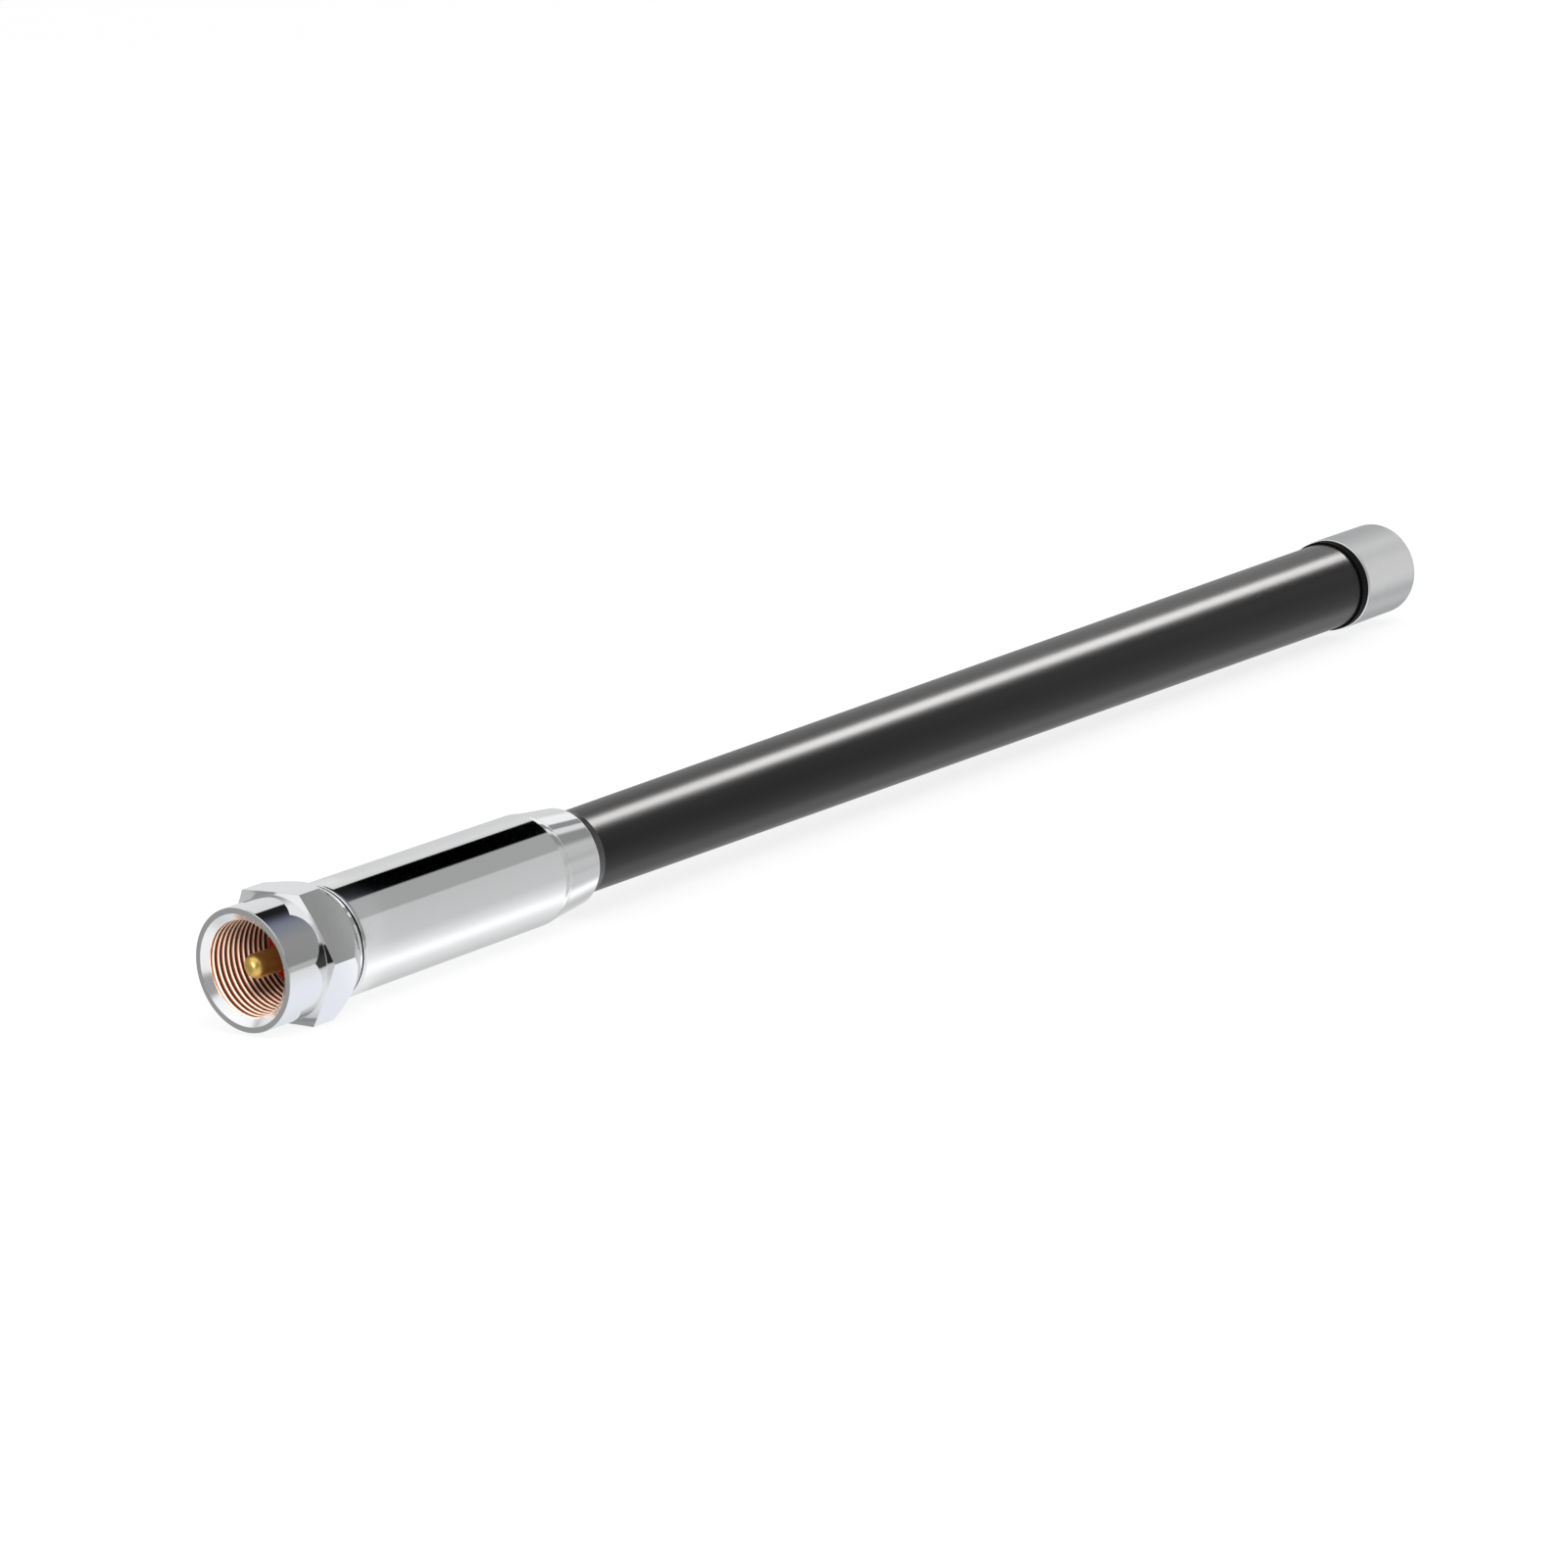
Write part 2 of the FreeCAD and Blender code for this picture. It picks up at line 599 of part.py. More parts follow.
def radiator():
    """The two radiator rods in the tube, joined by the phasing coil that separates the two bands."""
    body = piece("lower_radiator", "radiator_at")
    turned(body, [
        ("0", "feed_rod_radius + seat_clearance"),
        ("0", "radiator_radius"),
        ("lower_radiator_length", "radiator_radius"),
        ("lower_radiator_length", "0"),
        ("feed_rod_socket", "0"),
        ("feed_rod_socket", "feed_rod_radius + seat_clearance"),
    ])

    body = piece("phasing_core", "phasing_at")
    turned(body, [
        ("0", "radiator_radius + seat_clearance"),
        ("0", "phasing_core_radius"),
        ("phasing_core_length", "phasing_core_radius"),
        ("phasing_core_length", "radiator_radius + seat_clearance"),
        ("phasing_core_length - phasing_socket", "radiator_radius + seat_clearance"),
        ("phasing_core_length - phasing_socket", "0"),
        ("phasing_socket", "0"),
        ("phasing_socket", "radiator_radius + seat_clearance"),
    ])
    body = piece("phasing_coil", "phasing_coil_at")
    winding(body, "phasing_mean_radius", "phasing_wire_radius", "phasing_turns", "phasing_pitch")

    body = piece("upper_radiator", "upper_radiator_at")
    rod(body, "upper_radiator_length", "radiator_radius")

    for number, place in enumerate(("disc_first_at", "disc_second_at", "disc_third_at", "disc_fourth_at"), 1):
        body = piece("spacer_disc_%d" % number, place)
        tube_bore_here = "tube_bore_start + taper * (%s - tube_at - tube_shank_length)" % place
        turned(body, [
            ("0", "radiator_radius + seat_clearance"),
            ("0", tube_bore_here + " - seat_clearance"),
            ("disc_thickness", tube_bore_here + " - seat_clearance"),
            ("disc_thickness", "radiator_radius + seat_clearance"),
        ])


def check_all():
    """Stop with a message if any object of the document failed or any piece is not one sound solid."""
    for thing in DOCUMENT.Objects:
        if "Invalid" in thing.State or "Error" in thing.State:
            raise RuntimeError("%s failed: %s" % (thing.Label, thing.State))
    for body in PIECES:
        shape = body.Shape
        if shape.isNull() or not shape.isValid() or len(shape.Solids) != 1:
            raise RuntimeError("%s is not one sound solid" % body.Label)


def write_parts():
    """Write each piece to a file of its own name."""
    os.makedirs("parts", exist_ok=True)
    for body in PIECES:
        body.Shape.exportStep("parts/%s.step" % body.Label)
        box = body.Shape.BoundBox
        print("%-18s x %8.2f to %8.2f  r %6.2f  %9.1f mm3" % (
            body.Label, box.XMin, box.XMax, box.ZMax, body.Shape.Volume))


fill_sheet()
coupling_nut()
plug()
barrel()
matching_section()
tube()
radiator()
tip()
DOCUMENT.recompute()
check_all()
write_parts()
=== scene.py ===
"""Looks of the dual band vehicle antenna: its materials, the nut's thread, the studio and the camera.

Everything is in metres, in the frame of the solids: the antenna lies along +X, its insulator's face is
at the origin, and the mouth of the coupling nut faces -X.
"""

import bmesh
import bpy
import math
from mathutils import Matrix, Vector


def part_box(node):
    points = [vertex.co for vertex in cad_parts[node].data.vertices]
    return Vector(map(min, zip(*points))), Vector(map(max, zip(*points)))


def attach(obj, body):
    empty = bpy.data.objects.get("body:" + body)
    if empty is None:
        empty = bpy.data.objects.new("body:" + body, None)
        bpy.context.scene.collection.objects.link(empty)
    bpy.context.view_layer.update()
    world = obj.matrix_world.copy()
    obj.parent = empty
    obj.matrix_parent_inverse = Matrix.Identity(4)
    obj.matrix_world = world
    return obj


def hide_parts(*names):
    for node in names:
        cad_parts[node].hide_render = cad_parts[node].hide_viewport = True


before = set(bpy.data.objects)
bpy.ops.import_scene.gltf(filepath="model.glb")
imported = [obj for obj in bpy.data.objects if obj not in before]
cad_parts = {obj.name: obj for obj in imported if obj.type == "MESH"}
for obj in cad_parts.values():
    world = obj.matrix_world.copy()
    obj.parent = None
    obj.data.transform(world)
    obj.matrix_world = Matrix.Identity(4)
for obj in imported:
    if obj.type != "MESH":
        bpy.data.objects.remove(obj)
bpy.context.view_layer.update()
MM = 0.001

# Thread in the nut's bore: its radii and pitch, and the shares of a pitch where crest and root end
CREST = 7.45 * MM
ROOT = 7.94 * MM
PITCH = 1.058 * MM
CREST_END = 0.18
ROOT_START = 0.5
ROOT_END = 0.6

# Mesh of the thread: the shares of a pitch that have a row of corners, and the corners in one turn
SHARES = (0.0, 0.09, 0.18, 0.26, 0.34, 0.42, 0.5, 0.6, 0.68, 0.76, 0.84, 0.92)
TURN_STEPS = 160

# The thread gets its full depth over this length, and ends here, just behind the insulator's face
FADE_IN = 0.7 * PITCH
THREAD_END = 1.1 * MM

# From this place and outside this radius, the nut's rear land slopes inwards
REAR_LAND = 2.3 * MM
LAND_RADIUS = 9.1 * MM
REAR_SLOPE = 0.3
# A normal with this X part or more belongs to the nut's flat rear face
FACES_BACK = 0.99

# How near a corner counts as on the bore, inside the mouth, on the countersink, or at a place on the axis
NEAR_BORE = 0.03 * MM
NEAR_MOUTH = 0.01 * MM
NEAR_CONE = 0.002 * MM
NEAR_PLACE = 0.001 * MM

# A face of the thread that is shorter than this lies beyond the bore's ends
SHORTEST_FACE = 1e-7

# Material slots of the nut's mesh
PLATED, THREADED, COUNTERSUNK = range(3)

# Tip cap: the length that shows, and the width of its front chamfer, a cut edge painted near white as a
# highlight
CAP_LENGTH = 17.2 * MM
CAP_BEVEL = 0.3 * MM

# Floor under the antenna
FLOOR_RADIUS = 4.0
FLOOR_MIDDLE = 0.14
FLOOR_GAP = 0.02 * MM

# The photo's camera: its place, its heading from +Y towards +X, its tilt above level, and its roll
CAMERA_PLACE = (-0.523516, -0.519186, 0.17522)
HEADING = math.radians(50.928)
TILT = math.radians(-12.069)
ROLL = math.radians(5.173)
LENS = 117
SENSOR = 36


# Node trees


class Tree:
    """The node tree of a material or world, with short ways to add nodes."""

    def __init__(self, owner):
        owner.use_nodes = True
        self.nodes = owner.node_tree.nodes
        self.links = owner.node_tree.links

    def add(self, kind, inputs=(), **settings):
        """A new node, whose inputs are numbers, colours or the outputs of other nodes."""
        node = self.nodes.new(kind)
        for setting, content in settings.items():
            setattr(node, setting, content)
        for socket, content in dict(inputs).items():
            if isinstance(content, bpy.types.NodeSocket):
                self.links.new(content, node.inputs[socket])
            else:
                node.inputs[socket].default_value = content
        return node

    def math(self, operation, first, second=0.0, third=0.0):
        """The outcome of an operation on up to three numbers."""
        node = self.add("ShaderNodeMath", {0: first, 1: second, 2: third}, operation=operation)
        return node.outputs[0]

    def mix(self, factor, first, second):
        """The first colour where the factor is 0, and the second where it is 1."""
        node = self.add("ShaderNodeMix", {0: factor, 6: first, 7: second}, data_type="RGBA")
        return node.outputs[2]

    def ramp(self, factor, stops):
        """A colour that follows the factor through stops: a place from 0 to 1, and a grey or a colour."""
        node = self.add("ShaderNodeValToRGB", {"Fac": factor})
        elements = node.color_ramp.elements
        while len(elements) > 1:
            elements.remove(elements[-1])
        for number, (place, color) in enumerate(stops):
            element = elements[0] if number == 0 else elements.new(place)
            element.position = place
            element.color = (*color, 1) if isinstance(color, tuple) else (color, color, color, 1)
        return node.outputs[0]

    def tone(self, factor, low, high):
        """A colour that goes from low to high over the middle of the factor's range."""
        return self.ramp(factor, [(0.3, low), (0.7, high)])


class Look(Tree):
    """A material being built, with its main shader."""

    def __init__(self, name, color, metallic=0.0, roughness=0.5, ior=1.45):
        self.material = bpy.data.materials.new(name)
        super().__init__(self.material)
        self.shader = self.nodes["Principled BSDF"]
        self.shader.inputs["Base Color"].default_value = (*color, 1)
        self.shader.inputs["Metallic"].default_value = metallic
        self.shader.inputs["Roughness"].default_value = roughness
        self.shader.inputs["IOR"].default_value = ior
        self.place = self.add("ShaderNodeTexCoord").outputs["Object"]

    def noise(self, scale, detail=2.0, stretch=(1, 1, 1), roughness=0.5):
        """Noise in the object's own frame, in features per metre, stretched along its axes."""
        squeezed = self.add("ShaderNodeMapping", {"Vector": self.place, "Scale": stretch})
        texture = self.add("ShaderNodeTexNoise", {
            "Vector": squeezed.outputs[0], "Scale": scale, "Detail": detail, "Roughness": roughness})
        return texture.outputs["Fac"]

    def between(self, factor, low, high):
        """A number that follows the factor from low to high."""
        ranged = self.add("ShaderNodeMapRange", {"Value": factor, "To Min": low, "To Max": high})
        return ranged.outputs[0]

    def set(self, socket, output):
        """Drive an input of the main shader."""
        self.links.new(output, self.shader.inputs[socket])

    def bump(self, height, strength, distance, edge=0.0):
        """Raise the surface by a height; edge rounds the hard edges by that radius, in metres."""
        node = self.add("ShaderNodeBump", {"Height": height, "Strength": strength, "Distance": distance})
        if edge:
            round_edge = self.add("ShaderNodeBevel", {"Radius": edge}, samples=6)
            self.links.new(round_edge.outputs[0], node.inputs["Normal"])
        self.set("Normal", node.outputs[0])


# Materials


def chrome(name, waviness=0.02, roughness=0.03, edge=0.00008):
    """Bright plating: nearly a mirror, with faint polishing waves and hairlines round the axis."""
    look = Look(name, (0.90, 0.905, 0.915), 1.0, roughness)
    waves = look.noise(90, 2, (0.35, 1, 1))
    hairlines = look.noise(420, 3, (14, 1, 1), 0.6)
    look.set("Roughness", look.between(hairlines, roughness * 0.6, roughness * 1.7))
    height = look.math("MULTIPLY_ADD", hairlines, 0.03, waves)
    look.bump(height, waviness, 0.001, edge)
    return look.material


def thread_with_painted_root_shade():
    """The nut's inner thread: pale warm crests, and roots painted dark brown as shade in the grooves."""
    look = Look("thread_brass", (0.93, 0.62, 0.42), 0.0, 0.45, 1.15)
    axes = look.add("ShaderNodeSeparateXYZ", {"Vector": look.place}).outputs
    across = look.math("MULTIPLY", axes["Y"], axes["Y"])
    radius = look.math("SQRT", look.math("MULTIPLY_ADD", axes["Z"], axes["Z"], across))
    depth = look.add("ShaderNodeMapRange", {"Value": radius, "From Min": CREST, "From Max": ROOT})
    # Colour by depth in the groove: crests keep a pale warm tone, and the darkening towards the roots is
    # painted shade.
    look.set("Base Color", look.ramp(depth.outputs[0], [
        (0.0, (1.0, 0.88, 0.78)),
        (0.08, (1.0, 0.80, 0.66)),
        (0.24, (0.45, 0.15, 0.07)),
        (0.45, (0.10, 0.022, 0.008)),
        (1.0, (0.03, 0.006, 0.002)),
    ]))
    look.set("Roughness", look.between(look.noise(2500, 3), 0.34, 0.46))
    return look.material


def countersink_plate():
    """The plating of the nut's countersink, a little less bright than outside."""
    look = Look("countersink_plate", (0.83, 0.835, 0.85), 0.82, 0.16)
    clouds = look.noise(250, 2)
    look.set("Base Color", look.tone(clouds, (0.80, 0.805, 0.82), (0.86, 0.865, 0.88)))
    look.set("Roughness", look.between(clouds, 0.14, 0.18))
    return look.material


def gold():
    """The pin's gold plating, with faint stains."""
    look = Look("contact_gold", (0.86, 0.60, 0.20), 1.0, 0.16)
    stains = look.noise(400, 2)
    look.set("Base Color", look.tone(stains, (0.84, 0.56, 0.16), (0.88, 0.61, 0.19)))
    look.set("Roughness", look.between(look.noise(1500, 2, (6, 1, 1)), 0.3, 0.34))
    look.bump(look.noise(600, 2, (2, 1, 1)), 0.005, 0.0001)
    return look.material


def red_plastic():
    """The plug's glossy red insulator."""
    look = Look("insulator_red", (0.72, 0.012, 0.006), 0.0, 0.2)
    mottle = look.noise(500, 2)
    look.set("Base Color", look.tone(mottle, (0.62, 0.008, 0.004), (0.80, 0.016, 0.008)))
    look.set("Roughness", look.between(look.noise(2000, 2), 0.14, 0.26))
    look.bump(look.noise(1200, 2), 0.08, 0.0001, 0.00006)
    return look.material


def tube_plastic():
    """The satin black moulding of the tube, with a fine grain drawn out along it."""
    look = Look("tube_black", (0.006, 0.006, 0.0065), 0.0, 0.27, 1.42)
    grain = look.noise(1800, 3, (0.4, 1, 1), 0.6)
    clouds = look.noise(60, 2, (0.3, 1, 1))
    look.set("Base Color", look.tone(clouds, (0.0010, 0.0010, 0.0012), (0.0022, 0.0022, 0.0025)))
    look.set("Roughness", look.between(clouds, 0.25, 0.31))
    look.bump(grain, 0.06, 0.0001, 0.0001)
    return look.material


def rubber(name, grey, ior, roughness):
    """Black rubber with a fine grain."""
    look = Look(name, (grey, grey, grey * 1.05), 0.0, roughness, ior)
    look.set("Roughness", look.between(look.noise(900, 3), roughness * 0.85, roughness * 1.2))
    look.bump(look.noise(3000, 3), 0.1, 0.0001, 0.0001)
    return look.material


def satin_aluminium():
    """The tip cap: blasted and anodised, with a turned grain round the axis and a front chamfer, a cut
    edge painted near white as a highlight.
    """
    look = Look("cap_aluminium", (0.50, 0.505, 0.51), 1.0, 0.36)
    turned_grain = look.noise(500, 3, (10, 0.6, 0.6), 0.6)
    blasting = look.noise(6000, 2)
    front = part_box("tip_cap")[1].x - CAP_LENGTH
    along = look.add("ShaderNodeSeparateXYZ", {"Vector": look.place}).outputs["X"]
    bevel_highlight = look.math("LESS_THAN", along, front + CAP_BEVEL)
    look.set("Roughness", look.between(turned_grain, 0.33, 0.41))
    satin = look.tone(turned_grain, (0.47, 0.477, 0.483), (0.51, 0.517, 0.522))
    # Painted highlight: the front chamfer's colour is mixed to near white.
    look.set("Base Color", look.mix(bevel_highlight, satin, (0.9, 0.9, 0.9, 1)))
    look.bump(look.math("MULTIPLY_ADD", blasting, 0.6, turned_grain), 0.05, 0.0001, 0.0001)
    return look.material


def machined(name, low, high, metallic, roughness, scale=600, stretch=(8, 1, 1)):
    """A turned or drawn surface whose colour and roughness vary with fine lines."""
    look = Look(name, high, metallic, roughness)
    lines = look.noise(scale, 3, stretch, 0.6)
    look.set("Base Color", look.tone(lines, low, high))
    look.set("Roughness", look.between(lines, roughness * 0.75, roughness * 1.3))
    look.bump(lines, 0.08, 0.0001, 0.00006)
    return look.material


# The coupling nut with its thread


def off_axis(corner):
    """Distance of a corner from the antenna's axis."""
    return math.hypot(corner.co.y, corner.co.z)


def groove_radius(share):
    """Radius of the thread at a share of its pitch: a flat crest, a flank, a flat root, a flank."""
    if share < CREST_END:
        return CREST
    if share < ROOT_START:
        return CREST + (ROOT - CREST) * (share - CREST_END) / (ROOT_START - CREST_END)
    if share < ROOT_END:
        return ROOT
    return ROOT - (ROOT - CREST) * (share - ROOT_END) / (1 - ROOT_END)


class Bore:
    """The bore of the solid nut: its mouth, its countersink, and its straight wall from start to end."""

    def __init__(self, build):
        self.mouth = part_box("coupling_nut")[0].x
        self.mouth_radius = min(off_axis(v) for v in build.verts if v.co.x < self.mouth + NEAR_PLACE)
        wall = [v.co.x for v in build.verts if abs(off_axis(v) - CREST) < NEAR_BORE]
        self.start = min(wall)
        self.end = max(wall)
        self.slope = (self.mouth_radius - CREST) / (self.start - self.mouth)

    def countersink(self, along):
        """Radius of the countersink, and of its cone drawn on into the bore."""
        return self.mouth_radius - self.slope * (along - self.mouth)

    def owns(self, face):
        """Whether a face of the solid belongs to the countersink or to the straight wall."""
        radii = [off_axis(v) for v in face.verts]
        places = [v.co.x for v in face.verts]
        if max(places) > self.end + NEAR_PLACE or max(places) < self.mouth + NEAR_PLACE:
            return False
        if min(radii) < CREST - NEAR_BORE:
            return False
        on_wall = max(radii) < CREST + NEAR_BORE
        on_cone = min(places) < self.start - NEAR_PLACE and max(radii) < self.mouth_radius + NEAR_MOUTH
        return on_wall or on_cone

    def thread_point(self, along, share, turn):
        """A point of the thread, kept between the mouth and the bore's end and cut by the countersink."""
        along = min(max(along, self.mouth), self.end)
        depth = min(max((along - self.start) / FADE_IN, 0), 1) if along < THREAD_END else 0
        radius = CREST + (groove_radius(share) - CREST) * depth
        radius = max(radius, self.countersink(along))
        return Vector((along, radius * math.cos(turn), radius * math.sin(turn)))

    def on_countersink(self, face):
        """Whether a face of the thread lies on the countersink's cone."""
        return all(abs(off_axis(v) - self.countersink(v.co.x)) < NEAR_CONE for v in face.verts)


def ease_rear_land(build):
    """Slope the nut's rear land inwards, as the real nut's is."""
    for corner in build.verts:
        radius = off_axis(corner)
        if corner.co.x > REAR_LAND and radius > LAND_RADIUS:
            eased = 1 - (corner.co.x - REAR_LAND) * REAR_SLOPE / radius
            corner.co.y *= eased
            corner.co.z *= eased


def wind_thread(build, bore):
    """Wind rows of corners in a right-hand helix from mouth to bore's end, and join them with faces."""
    turns = int((bore.end - bore.mouth) / PITCH) + 3
    rows = []
    for number in range(-1, turns):
        for share in SHARES:
            row = []
            for step in range(TURN_STEPS + 1):
                lead = step / TURN_STEPS
                along = bore.mouth + PITCH * (number + share + lead - 0.5)
                row.append(build.verts.new(bore.thread_point(along, share, 2 * math.pi * lead)))
            rows.append(row)
    faces = []
    for one, two in zip(rows, rows[1:]):
        for step in range(TURN_STEPS):
            quad = (one[step], two[step], two[step + 1], one[step + 1])
            places = [corner.co.x for corner in quad]
            if max(places) - min(places) > SHORTEST_FACE:
                faces.append(build.faces.new(quad))
    return faces


def shade_nut(mesh, bore, solid_normals):
    """Keep the solid's own normals outside, and give the thread and the countersink theirs."""
    cone = Vector((1, bore.slope)).normalized()
    sources = mesh.attributes["source"].data
    normals = []
    for face in mesh.polygons:
        for place, corner in enumerate(face.vertices):
            co = mesh.vertices[corner].co
            outward = Vector((0, co.y, co.z)).normalized()
            if face.material_index == PLATED:
                normal = solid_normals[sources[face.index].value - 1][place]
                if face.center.x > REAR_LAND and normal.x < FACES_BACK:
                    normal = (normal + Vector((REAR_SLOPE * outward.dot(normal), 0, 0))).normalized()
            elif face.material_index == THREADED:
                normal = face.normal.copy()
            else:
                normal = Vector((-cone.y, 0, 0)) - outward * cone.x
            normals.append(normal)
    mesh.normals_split_custom_set(normals)


def threaded_nut():
    """The nut: outside as the solid has it, inside with a right-hand thread that the countersink cuts."""
    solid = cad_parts["coupling_nut"].data
    corner_normals = [corner.vector.copy() for corner in solid.corner_normals]
    solid_normals = [[corner_normals[loop] for loop in face.loop_indices] for face in solid.polygons]
    mesh = solid.copy()
    mesh.name = "threaded_coupling_nut"
    mesh.materials.clear()
    build = bmesh.new()
    build.from_mesh(mesh)
    source = build.faces.layers.int.new("source")
    for face in build.faces:
        face[source] = face.index + 1

    bore = Bore(build)
    bmesh.ops.delete(build, geom=[face for face in build.faces if bore.owns(face)], context="FACES")
    ease_rear_land(build)
    thread_faces = wind_thread(build, bore)
    for face in thread_faces:
        face.smooth = True
        face[source] = 0
        face.material_index = COUNTERSUNK if bore.on_countersink(face) else THREADED
    loose = [v for v in build.verts if not v.link_faces]
    bmesh.ops.delete(build, geom=loose, context="VERTS")
    thread_corners = list(dict.fromkeys(v for face in thread_faces for v in face.verts))
    bmesh.ops.remove_doubles(build, verts=thread_corners, dist=NEAR_CONE)
    build.to_mesh(mesh)
    build.free()
    shade_nut(mesh, bore, solid_normals)

    thing = bpy.data.objects.new("threaded_coupling_nut", mesh)
    bpy.context.scene.collection.objects.link(thing)
    for material in (NUT_PLATE, thread_with_painted_root_shade(), countersink_plate()):
        mesh.materials.append(material)
    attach(thing, "coupling")
    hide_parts("coupling_nut")
    return thing


# The room as mirrors see it: cards and gaps round the antenna's axis, named after what mirrors them.
# Each stop is an angle in degrees, where 0 looks to -Y and 90 looks up, and a grey or a colour.

BY_NOSE_ROOT = [
    (-180, 0.30), (-60, 0.80), (-44, 0.70), (-40, 0.55), (-37, 0.06), (-17, 0.045), (0, 0.015),
    (12, 0.02), (17, 0.25), (22, 0.60), (34, 0.68), (65, 0.68), (76, 0.95), (130, 0.95), (150, 0.5),
    (180, 0.30),
]
BEFORE_MOUTH = [
    (-180, 0.32), (-150, 0.32), (-140, 0.55), (-125, 0.78), (-105, 0.85), (-60, 0.92), (-14, 0.90),
    (-7, 0.80), (-3, 0.30), (10, 0.08), (28, 0.03), (46, 0.04), (52, 0.30), (58, 0.85), (76, 0.95),
    (130, 0.95), (155, 0.5), (175, 0.32), (180, 0.32),
]
BY_FRONT_FACE = [
    (-180, 0.32), (-150, 0.30), (-139, 0.30), (-136, 0.55), (-126, 0.66), (-100, 0.85), (-80, 0.94),
    (-60, 0.92), (-45, 0.75), (-33, 0.64), (0, 0.60), (46, 0.62), (60, 0.78), (75, 1.02), (103, 1.04),
    (140, 0.95), (147, 0.32), (180, 0.32),
]
BY_CORNER = [
    (-180, 0.31), (-120, 0.60), (-60, 0.92), (-45, 0.75), (-33, 0.64), (-20, 0.62), (-17.5, 0.60),
    (-16.5, 0.02), (13, 0.015), (16, 0.45), (46, 0.60), (60, 0.75), (75, 1.02), (103, 1.04),
    (140, 0.95), (147, 0.32), (180, 0.31),
]
BY_NUT = [
    (-180, (0.76, 0.78, 0.80)), (-125, (0.76, 0.79, 0.82)), (-98, (0.82, 0.85, 0.88)),
    (-80, (0.84, 0.86, 0.93)), (-55, (0.85, 0.87, 0.95)), (-38, (0.83, 0.85, 0.90)), (-24, 0.78),
    (-14.5, 0.73), (-13.5, 0.47), (-4.5, 0.46), (-3, 0.27), (10, 0.27), (42, 0.285),
    (60, (0.24, 0.25, 0.28)), (72, (0.20, 0.215, 0.26)), (79, (0.17, 0.18, 0.235)),
    (86, (0.10, 0.11, 0.15)), (93, (0.045, 0.05, 0.065)), (101, 0.015), (116.5, 0.012), (118, 0.75),
    (140, 0.77), (180, (0.76, 0.78, 0.80)),
]
BY_BARREL_START = [
    (-180, 0.70), (-133, 0.74), (-110, 0.85), (-88, 0.95), (-74, 1.08), (-61, 1.16), (-50, 0.98),
    (-35, 0.80), (-22, 0.72), (30, 0.70), (34.3, 0.68), (36, 0.50), (75.5, 0.47), (77, 0.13),
    (80, (0.07, 0.075, 0.09)), (86, (0.03, 0.032, 0.038)), (95, 0.025), (107, 0.015), (117, 0.014),
    (118.5, 0.72), (140, 0.82), (180, 0.73),
]
BY_BARREL = [
    (-180, 0.66), (-133, 0.60), (-122, 0.62), (-110, 0.68), (-98, 0.75), (-88, 0.82), (-79, 0.94),
    (-71, 1.08), (-63, 1.14), (-56, 1.03), (-48, 0.88), (-40, 0.78), (-29, 0.67), (-20, 0.60),
    (0, 0.585), (32, 0.565), (34.3, 0.56), (36, 0.385), (76.8, 0.385), (77.8, 0.0), (118, 0.0),
    (119.5, 0.68), (130, 0.74), (150, 0.69), (180, 0.66),
]
BY_COLLAR = [
    (-180, 0.67), (-139, 0.68), (-124, 0.59), (-112, 0.575), (-101, 0.64), (-91.6, 0.86), (-83, 1.09),
    (-73, 1.10), (-66, 0.78), (-58.5, 0.61), (-36.5, 0.58), (-29.4, 0.52), (-22.5, 0.55), (-8.7, 0.565),
    (-1.9, 0.52), (5, 0.47), (14, 0.51), (32, 0.54), (38.5, 0.51), (43, 0.39), (49, 0.28), (70, 0.28),
    (73, 0.45), (77, 0.73), (88, 0.76), (91, 0.28), (104, 0.28), (107, 0.93), (130, 0.96), (141, 0.70),
    (160, 0.71), (180, 0.67),
]

# How the stops follow each other from -X to +X: each takes over from the one before it where the X part
# of a mirror's line of sight goes from the first number to the second.
FIRST_STOPS = BY_NOSE_ROOT
NEXT_STOPS = [
    (-0.88, -0.865, BEFORE_MOUTH),
    (-0.67, -0.63, BY_FRONT_FACE),
    (-0.43, -0.42, BY_CORNER),
    (-0.3, -0.1, BY_NUT),
    (0.6912, 0.6925, BY_BARREL_START),
    (0.6948, 0.6966, BY_BARREL),
    (0.7262, 0.738, BY_COLLAR),
]

# The seams between them lean: at this angle they lie farthest to +X, by this much
SEAM_ANGLE = math.radians(18.5)
SEAM_LEAN = 0.0062

# The room as the camera sees it, and as it lights surfaces that are no mirrors
WHITE = (1, 1, 1, 1)
SOFT_LIGHT = (0.8, 0.8, 0.8, 1)


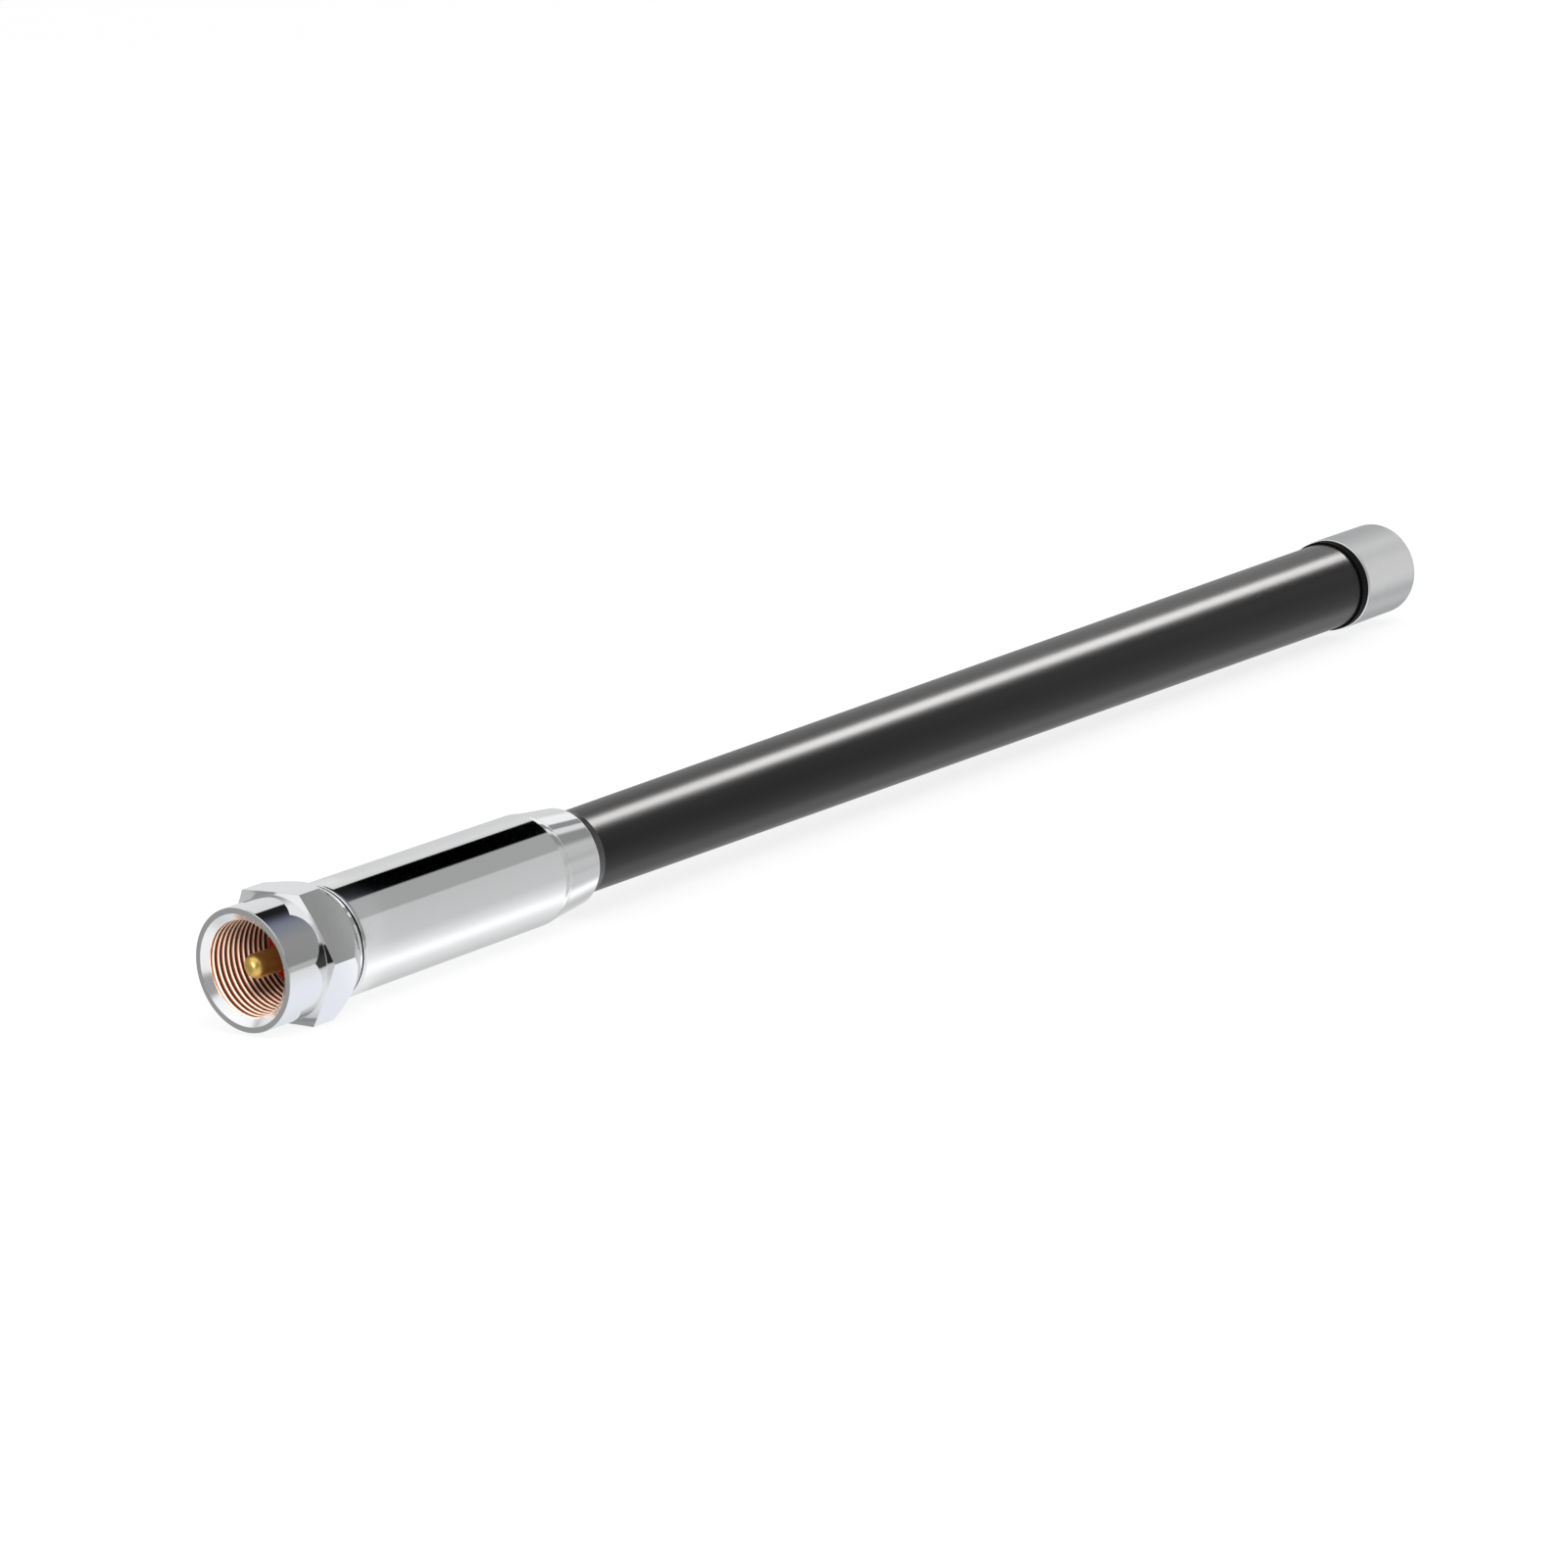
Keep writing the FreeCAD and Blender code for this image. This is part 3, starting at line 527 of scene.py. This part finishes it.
def studio():
    """A white room, which mirrors see as the cards and gaps listed above."""
    world = bpy.data.worlds.new("studio")
    bpy.context.scene.world = world
    tree = Tree(world)
    sight = tree.add("ShaderNodeTexCoord").outputs["Generated"]
    axes = tree.add("ShaderNodeSeparateXYZ", {"Vector": sight}).outputs
    angle = tree.math("ARCTAN2", axes["Z"], tree.math("MULTIPLY", axes["Y"], -1.0))
    full_turn_share = tree.math("MULTIPLY_ADD", angle, 1 / (2 * math.pi), 0.5)
    leaning = tree.math("COSINE", tree.math("MULTIPLY_ADD", angle, 0.5, -0.5 * SEAM_ANGLE))
    ahead = tree.math("MULTIPLY_ADD", leaning, -SEAM_LEAN, axes["X"])

    def cards(stops):
        """The room's colour at a mirror's angle, from a list of stops."""
        return tree.ramp(full_turn_share, [((degrees + 180) / 360, color) for degrees, color in stops])

    room = cards(FIRST_STOPS)
    for start, end, stops in NEXT_STOPS:
        seam = tree.add("ShaderNodeMapRange", {"Value": ahead, "From Min": start, "From Max": end},
                        interpolation_type="SMOOTHSTEP")
        room = tree.mix(seam.outputs[0], room, cards(stops))

    ray = tree.add("ShaderNodeLightPath").outputs
    lit = tree.mix(ray["Is Glossy Ray"], SOFT_LIGHT, room)
    straight = tree.math("MAXIMUM", ray["Is Camera Ray"], ray["Is Transmission Ray"])
    background = tree.nodes["Background"]
    tree.links.new(tree.mix(straight, lit, WHITE), background.inputs["Color"])
    background.inputs["Strength"].default_value = 1.0


# Lamps, floor and camera


def lamp(name, place, target, size, power, receivers=None, glossy=True):
    """A rectangular lamp that faces a target, lighting only the receivers where they are given."""
    data = bpy.data.lights.new(name, "AREA")
    data.shape = "RECTANGLE"
    data.size, data.size_y = size
    data.energy = power
    data.color = (1.0, 0.985, 0.965)
    thing = bpy.data.objects.new(name, data)
    bpy.context.scene.collection.objects.link(thing)
    thing.location = place
    back = (Vector(place) - Vector(target)).normalized()
    side = Vector((1, 0, 0))
    side = (side - back * side.dot(back)).normalized()
    thing.rotation_euler = Matrix((side, back.cross(side), back)).transposed().to_euler()
    thing.visible_camera = False
    thing.visible_glossy = glossy
    if receivers:
        group = bpy.data.collections.new(name + "_receivers")
        for receiver in receivers:
            group.objects.link(receiver)
        thing.light_linking.receiver_collection = group


def floor():
    """A round pale floor under the nut's lower flat, nearly as white as the room but for the shadow."""
    mesh = bpy.data.meshes.new("floor")
    build = bmesh.new()
    bmesh.ops.create_circle(build, cap_ends=True, segments=96, radius=FLOOR_RADIUS)
    build.to_mesh(mesh)
    build.free()
    thing = bpy.data.objects.new("floor", mesh)
    bpy.context.scene.collection.objects.link(thing)
    thing.location = (FLOOR_MIDDLE, 0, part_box("coupling_nut")[0].z - FLOOR_GAP)
    look = Look("floor_pale", (0.9, 0.9, 0.9), 0.0, 0.9)
    look.set("Base Color", look.tone(look.noise(20, 3), 0.89, 0.91))
    glow = look.add("ShaderNodeEmission", {"Color": WHITE, "Strength": 1.1})
    ray = look.add("ShaderNodeLightPath").outputs
    seen = look.math("MAXIMUM", ray["Is Camera Ray"], ray["Is Glossy Ray"])
    seen = look.math("MAXIMUM", seen, ray["Is Transmission Ray"])
    mixed = look.add("ShaderNodeMixShader", {
        0: look.math("MULTIPLY", seen, 0.72), 1: look.shader.outputs[0], 2: glow.outputs[0]})
    look.links.new(mixed.outputs[0], look.nodes["Material Output"].inputs[0])
    mesh.materials.append(look.material)
    thing.visible_glossy = False


def camera():
    """The photo's view: from the mouth's side, a little above, turned about its own line of sight."""
    data = bpy.data.cameras.new("camera")
    data.lens = LENS
    data.sensor_width = SENSOR
    data.clip_start = 0.01
    data.clip_end = 50
    thing = bpy.data.objects.new("camera", data)
    bpy.context.scene.collection.objects.link(thing)
    level = math.cos(TILT)
    forward = Vector((level * math.sin(HEADING), level * math.cos(HEADING), math.sin(TILT)))
    side = forward.cross(Vector((0, 0, 1))).normalized()
    up = side.cross(forward)
    rolled_up = up * math.cos(ROLL) + side * math.sin(ROLL)
    rolled_side = side * math.cos(ROLL) - up * math.sin(ROLL)
    turned = Matrix((rolled_side, rolled_up, -forward)).transposed().to_4x4()
    thing.matrix_world = Matrix.Translation(CAMERA_PLACE) @ turned
    bpy.context.scene.camera = thing


# Dressing

NUT_PLATE = chrome("nut_chrome", 0.015)
STEEL = machined("turned_steel", (0.48, 0.48, 0.49), (0.62, 0.62, 0.63), 1.0, 0.3)
BRASS = machined("drawn_brass", (0.70, 0.50, 0.20), (0.85, 0.65, 0.32), 1.0, 0.25)
WIRE = machined("enamelled_wire", (0.50, 0.17, 0.06), (0.68, 0.28, 0.11), 0.6, 0.22, 900, (1, 1, 1))
BOARD = machined("laminate_board", (0.36, 0.32, 0.12), (0.48, 0.42, 0.20), 0.0, 0.45, 1500, (1, 6, 1))
CERAMIC = machined("dipped_ceramic", (0.52, 0.27, 0.09), (0.64, 0.36, 0.15), 0.0, 0.3, 400, (1, 1, 1))
NATURAL = machined("natural_plastic", (0.74, 0.73, 0.68), (0.85, 0.84, 0.80), 0.0, 0.42, 500)
RUBBER = rubber("seal_black", 0.003, 1.2, 0.6)

LOOKS = {
    "coupling_nut": NUT_PLATE,
    "plug_body": machined("plug_plate", (0.62, 0.60, 0.56), (0.74, 0.72, 0.68), 1.0, 0.2),
    "plug_insulator": red_plastic(),
    "center_pin": gold(),
    "thrust_washer": RUBBER,
    "barrel": chrome("barrel_chrome", 0.012, edge=0.0004),
    "lock_nut": STEEL,
    "tube_collar": chrome("collar_chrome", 0.06, 0.04),
    "collar_seal": rubber("lip_black", 0.012, 2.0, 0.22),
    "matching_board": BOARD,
    "tuning_capacitor": CERAMIC,
    "coil_former": NATURAL,
    "matching_coil": WIRE,
    "feed_rod": BRASS,
    "base_plug": NATURAL,
    "radome_tube": tube_plastic(),
    "lower_radiator": BRASS,
    "phasing_core": NATURAL,
    "phasing_coil": WIRE,
    "upper_radiator": BRASS,
    "spacer_disc_1": NATURAL,
    "spacer_disc_2": NATURAL,
    "spacer_disc_3": NATURAL,
    "spacer_disc_4": NATURAL,
    "tip_gasket": RUBBER,
    "tip_cap": satin_aluminium(),
    "cap_ring_seal": RUBBER,
}
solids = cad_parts
for node, material in LOOKS.items():
    solids[node].data.materials.clear()
    solids[node].data.materials.append(material)

nut_piece = threaded_nut()
camera()
floor()
studio()
lamp("soft_key", (-0.2, -0.9, 1.3), (0.1, 0, 0), size=(1.2, 1.2), power=10, glossy=False)
lamp("tube_strip", (0.85, -0.170, 0.985), (0.85, 0, 0), size=(1.9, 0.42), power=42,
     receivers=[solids["radome_tube"]])
lamp("cap_strip", (1.29, -0.56, 0.36), (0.295, 0, 0), size=(1.0, 2.3), power=5.8,
     receivers=[solids["tip_cap"]])
lamp("mouth_lamp", (-0.342, -0.330, 0.316), (-0.006, 0, 0), size=(0.15, 0.15), power=3.2,
     receivers=[nut_piece, solids["plug_insulator"]], glossy=False)
lamp("pin_lamp", (-0.50, 0.107, 0.072), (-0.0114, 0, 0), size=(0.09, 0.09), power=0.6,
     receivers=[solids["center_pin"]])

bpy.context.scene.view_settings.view_transform = "Standard"
